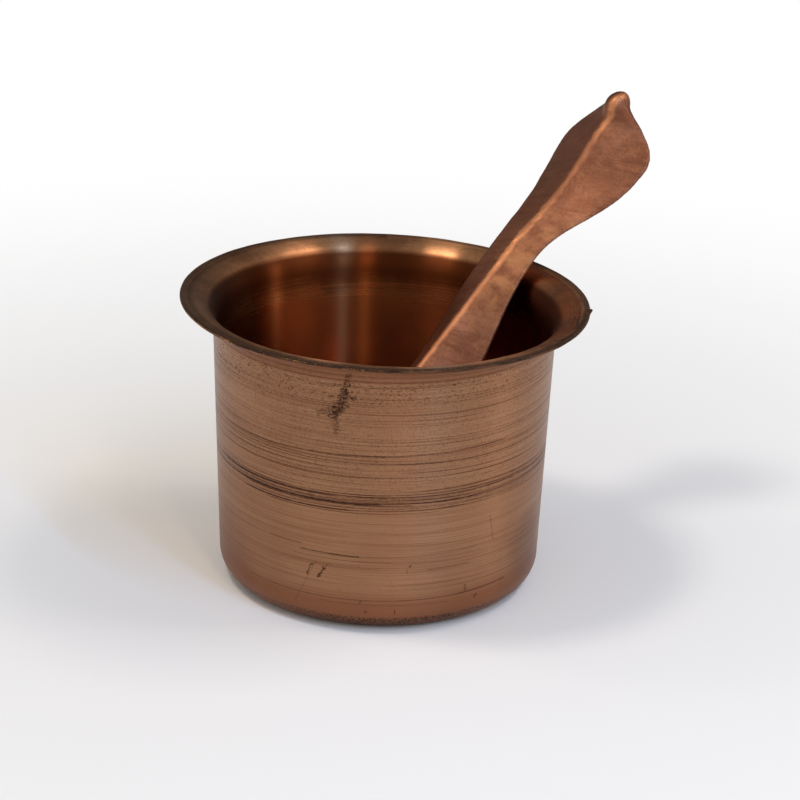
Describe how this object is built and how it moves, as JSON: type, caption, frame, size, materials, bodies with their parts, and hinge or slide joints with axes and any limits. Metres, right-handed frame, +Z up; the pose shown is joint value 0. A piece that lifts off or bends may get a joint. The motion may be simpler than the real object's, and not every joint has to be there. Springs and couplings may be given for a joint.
{
  "type": "panchpatra",
  "caption": "Spun copper cup with a flared lip for ritual water, and the folded-sheet dipping spoon that leans in it and lifts out.",
  "frame": {"origin": "centre of the cup's flat base, on the surface that it stands on", "axes": "+Z up along the cup's axis, with the spoon leaning towards a direction 36 degrees from +X towards +Y"},
  "size_m": [0.1027, 0.098, 0.0991],
  "materials": {
    "cup_copper": "spun copper with fine lathe lines, dulled by handling",
    "spoon_copper": "hammered copper sheet with a rubbed ridge"
  },
  "bodies": {
    "cup": {"cup": "cup_copper"},
    "spoon": {"spoon": "spoon_copper"}
  },
  "joints": [
    {"name": "spoon_lift", "type": "slide", "parent": "cup", "child": "spoon", "axis": [0, 0, 1], "range_m": [0, 0.08]}
  ]
}
